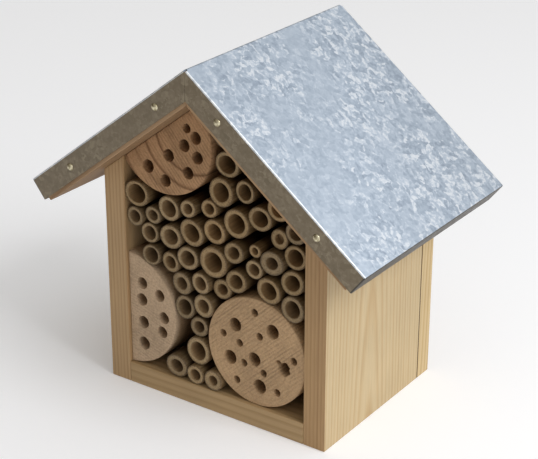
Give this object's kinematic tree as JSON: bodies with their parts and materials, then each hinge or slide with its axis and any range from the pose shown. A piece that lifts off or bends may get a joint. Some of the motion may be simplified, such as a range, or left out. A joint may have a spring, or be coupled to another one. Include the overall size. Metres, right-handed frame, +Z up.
{
  "type": "insect hotel",
  "caption": "Gabled wooden insect hotel with a folded metal roof; drilled logs and bamboo canes fill its open front for solitary bees to nest in. It stands, or hangs by a plate on its back.",
  "frame": {"origin": "under the middle of the overall box, on the surface that the floor and walls stand on", "axes": "+Z up; the open front faces -Y, so +Y points out of the back panel; +X is to the right for someone facing the front"},
  "size_m": [0.236, 0.159, 0.2238],
  "materials": {
    "wall_pine": "planed pine, unfinished",
    "floor_pine": "planed pine, unfinished",
    "back_pine": "planed pine, unfinished",
    "roof_pine": "planed pine, darkened",
    "galvanised_sheet": "hot-dip galvanised steel with a visible spangle",
    "brass": "bright, slightly tarnished",
    "nail_steel": "plain bright steel",
    "yellow_zinc_steel": "yellow zinc plated steel",
    "plate_steel": "zinc plated steel",
    "red_log": "sawn end grain, reddish brown",
    "pale_log": "sawn end grain, pale greyish tan",
    "tan_log": "sawn end grain, tan",
    "bamboo": "dry bamboo cane, matt grey-brown skin"
  },
  "bodies": {
    "root": {"left_wall": "wall_pine", "right_wall": "wall_pine", "floor_board": "floor_pine", "back_panel": "back_pine", "left_roof_board": "roof_pine", "right_roof_board": "roof_pine", "metal_roof": "galvanised_sheet", "brass_nails": "brass", "roof_nails": "nail_steel", "back_screws": "yellow_zinc_steel", "hanger_plate": "plate_steel", "hanger_screws": "plate_steel", "top_log": "red_log", "left_log": "pale_log", "right_log": "tan_log", "bamboo_tube_01": "bamboo", "bamboo_tube_02": "bamboo", "bamboo_tube_03": "bamboo", "bamboo_tube_04": "bamboo", "bamboo_tube_05": "bamboo", "bamboo_tube_06": "bamboo", "bamboo_tube_07": "bamboo", "bamboo_tube_08": "bamboo", "bamboo_tube_09": "bamboo", "bamboo_tube_10": "bamboo", "bamboo_tube_11": "bamboo", "bamboo_tube_12": "bamboo", "bamboo_tube_13": "bamboo", "bamboo_tube_14": "bamboo", "bamboo_tube_15": "bamboo", "bamboo_tube_16": "bamboo", "bamboo_tube_17": "bamboo", "bamboo_tube_18": "bamboo", "bamboo_tube_19": "bamboo", "bamboo_tube_20": "bamboo", "bamboo_tube_21": "bamboo", "bamboo_tube_22": "bamboo", "bamboo_tube_23": "bamboo", "bamboo_tube_24": "bamboo", "bamboo_tube_25": "bamboo", "bamboo_tube_26": "bamboo", "bamboo_tube_27": "bamboo", "bamboo_tube_28": "bamboo", "bamboo_tube_29": "bamboo", "bamboo_tube_30": "bamboo", "bamboo_tube_31": "bamboo", "bamboo_tube_32": "bamboo", "bamboo_tube_33": "bamboo", "bamboo_tube_34": "bamboo", "bamboo_tube_35": "bamboo", "bamboo_tube_36": "bamboo", "bamboo_tube_37": "bamboo", "bamboo_tube_38": "bamboo", "bamboo_tube_39": "bamboo", "bamboo_tube_40": "bamboo", "bamboo_tube_41": "bamboo", "bamboo_tube_42": "bamboo", "bamboo_tube_43": "bamboo", "bamboo_tube_44": "bamboo", "bamboo_tube_45": "bamboo"}
  },
  "joints": []
}
